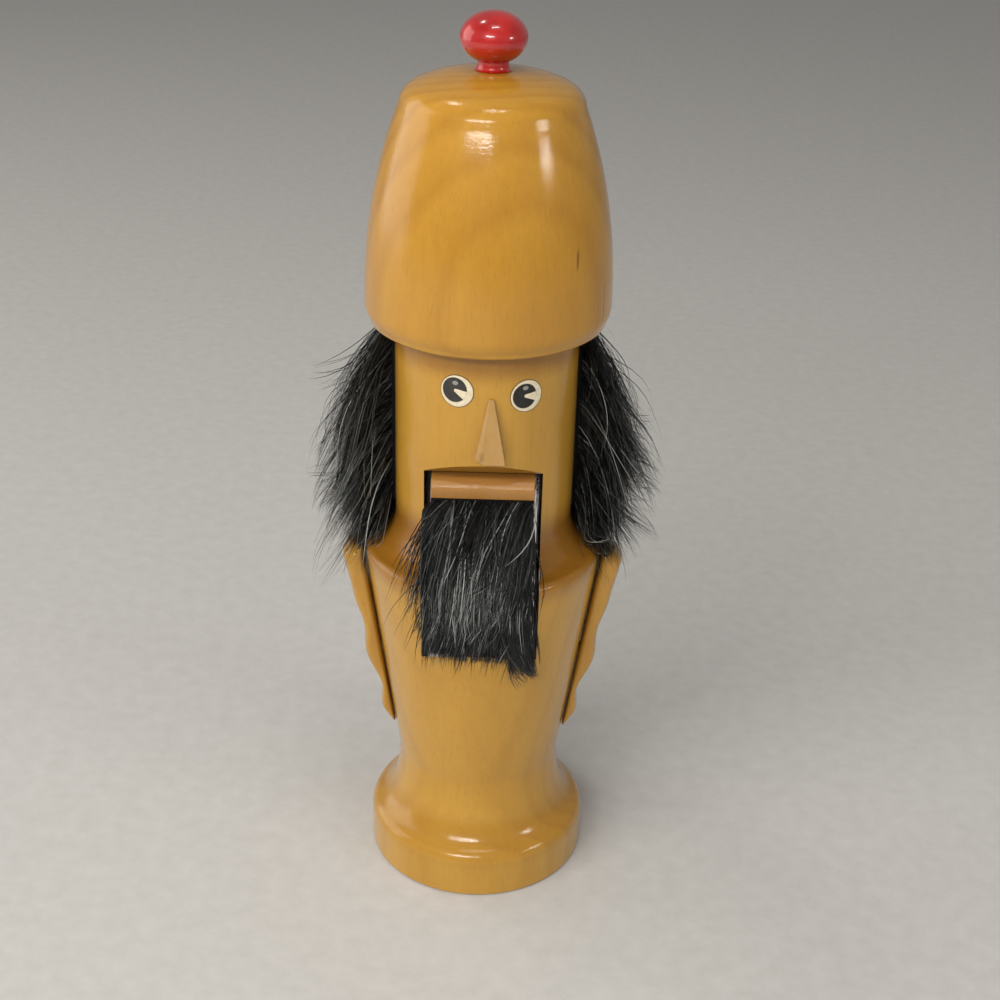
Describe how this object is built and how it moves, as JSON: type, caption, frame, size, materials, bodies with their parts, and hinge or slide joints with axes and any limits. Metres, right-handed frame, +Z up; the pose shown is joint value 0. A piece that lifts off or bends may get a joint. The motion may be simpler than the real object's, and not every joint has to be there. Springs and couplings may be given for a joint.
{
  "type": "nutcracker",
  "caption": "Turned wooden nutcracker figure with a lever jaw worked by a handle at the back, glued arms, fur hair and a fur beard.",
  "frame": {"origin": "centre of the flat underside of the base", "axes": "+Z up along the turning axis; the face looks along -Y, the handle is on the +Y side and the lever turns about X"},
  "size_m": [0.0908, 0.0847, 0.2773],
  "materials": {
    "varnished_wood": "gloss varnish over amber wood",
    "lever_wood": "gloss varnish",
    "nose_wood": "thin varnish, nearly bare",
    "raw_wood": "unfinished",
    "red_lacquer": "gloss lacquer on turned wood",
    "black_fur": "long-pile artificial fur",
    "fur_backing": "woven backing cloth",
    "eye_sticker": "printed gloss disc",
    "steel": "plain drawn rod"
  },
  "bodies": {
    "figure": {"body": "varnished_wood", "hat": "varnished_wood", "hat_dowel": "raw_wood", "knob": "red_lacquer", "pivot_pin": "steel", "hair": "black_fur", "hair_backing": "fur_backing", "right_arm": "varnished_wood", "left_arm": "varnished_wood", "arm_dowels": "raw_wood", "nose": "nose_wood", "right_eye": "eye_sticker", "left_eye": "eye_sticker"},
    "lever": {"lever": "lever_wood", "beard_backing": "fur_backing", "beard": "black_fur"}
  },
  "joints": [
    {"name": "lever_hinge", "type": "hinge", "parent": "figure", "child": "lever", "pos_m": [0, 0, 0.11], "axis": [1, 0, 0], "range_deg": [0, 30], "deforming": ["beard"]}
  ]
}
